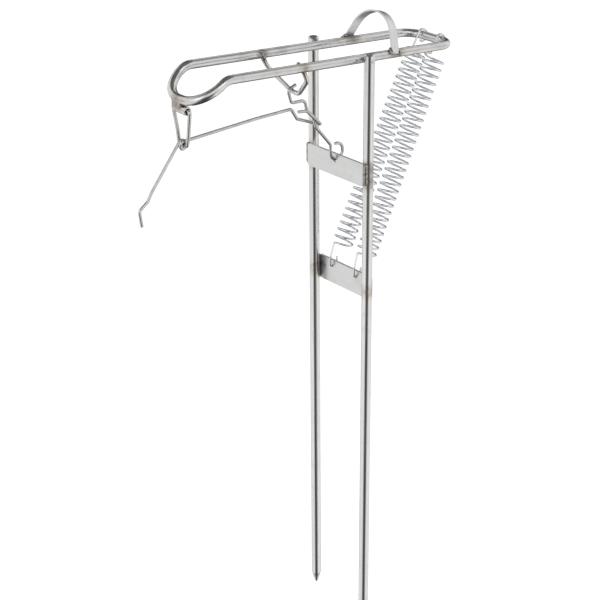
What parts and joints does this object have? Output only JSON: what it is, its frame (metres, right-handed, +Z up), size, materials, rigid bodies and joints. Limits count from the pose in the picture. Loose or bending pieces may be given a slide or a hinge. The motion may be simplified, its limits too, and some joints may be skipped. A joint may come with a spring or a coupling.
{
  "type": "rod holder",
  "caption": "Spring-loaded bank fishing rod holder: tilting wire cradle on two ground stakes, with return springs, catch hook and trigger lever.",
  "frame": {"origin": "on the ground line, midway between the two stakes", "axes": "+X towards the rod's tip, +Y to the left, +Z up along the posts"},
  "size_m": [0.2863, 0.069, 0.5208],
  "materials": {
    "post_steel": "drawn round bar, fine lengthwise streaks",
    "rod_steel": "polished round bar with light handling marks",
    "plate_steel": "satin sheet",
    "wire_steel": "bright drawn wire",
    "spring_wire": "bright bluish zinc-plated wire",
    "pin_steel": "turned",
    "weld_metal": "rippled weld bead"
  },
  "bodies": {
    "stand": {"left_post": "post_steel", "right_post": "post_steel", "upper_cross_plate": "plate_steel", "lower_cross_plate": "plate_steel", "upper_plate_welds": "weld_metal", "lower_plate_welds": "weld_metal", "left_pivot_pin": "pin_steel", "right_pivot_pin": "pin_steel"},
    "cradle": {"cradle_frame": "rod_steel", "hold_down_arch": "plate_steel", "arch_welds": "weld_metal", "hanger_bar": "rod_steel", "hanger_welds": "weld_metal", "front_sleeve": "rod_steel", "sleeve_weld": "weld_metal"},
    "latch": {"latch_hook": "wire_steel"},
    "link": {"front_link": "wire_steel"},
    "trigger": {"trigger_lever": "wire_steel"},
    "spring_left": {"left_spring": "spring_wire"},
    "spring_right": {"right_spring": "spring_wire"}
  },
  "joints": [
    {"name": "frame_tilt", "type": "hinge", "parent": "stand", "child": "cradle", "pos_m": [0, 0, 0.346], "axis": [0, -1, 0], "range_deg": [0, 35], "deforming": ["left_spring", "right_spring"]},
    {"name": "latch_swing", "type": "hinge", "parent": "stand", "child": "latch", "pos_m": [0.0042, 0, 0.2696], "axis": [0, 1, 0], "range_deg": [0, 78.75]},
    {"name": "link_swing", "type": "hinge", "parent": "cradle", "child": "link", "pos_m": [0.1464, 0, 0.3361], "axis": [0, -1, 0], "range_deg": [-35, 0]},
    {"name": "trigger_swing", "type": "hinge", "parent": "link", "child": "trigger", "pos_m": [0.1464, 0, 0.3103], "axis": [0, -1, 0], "range_deg": [0, 42]},
    {"name": "left_spring_swing", "type": "hinge", "parent": "stand", "child": "spring_left", "pos_m": [-0.005, 0.0138, 0.1669], "axis": [0, -1, 0], "range_deg": [0, 2.23]},
    {"name": "right_spring_swing", "type": "hinge", "parent": "stand", "child": "spring_right", "pos_m": [-0.005, -0.0138, 0.1669], "axis": [0, -1, 0], "range_deg": [0, 2.23]}
  ],
  "couplings": [
    {"joint": "latch_swing", "follows": "frame_tilt", "ratio": 2.25},
    {"joint": "link_swing", "follows": "frame_tilt", "ratio": -1},
    {"joint": "trigger_swing", "follows": "frame_tilt", "ratio": 1.2},
    {"joint": "left_spring_swing", "follows": "frame_tilt", "ratio": 0.0637},
    {"joint": "right_spring_swing", "follows": "frame_tilt", "ratio": 0.0637}
  ]
}
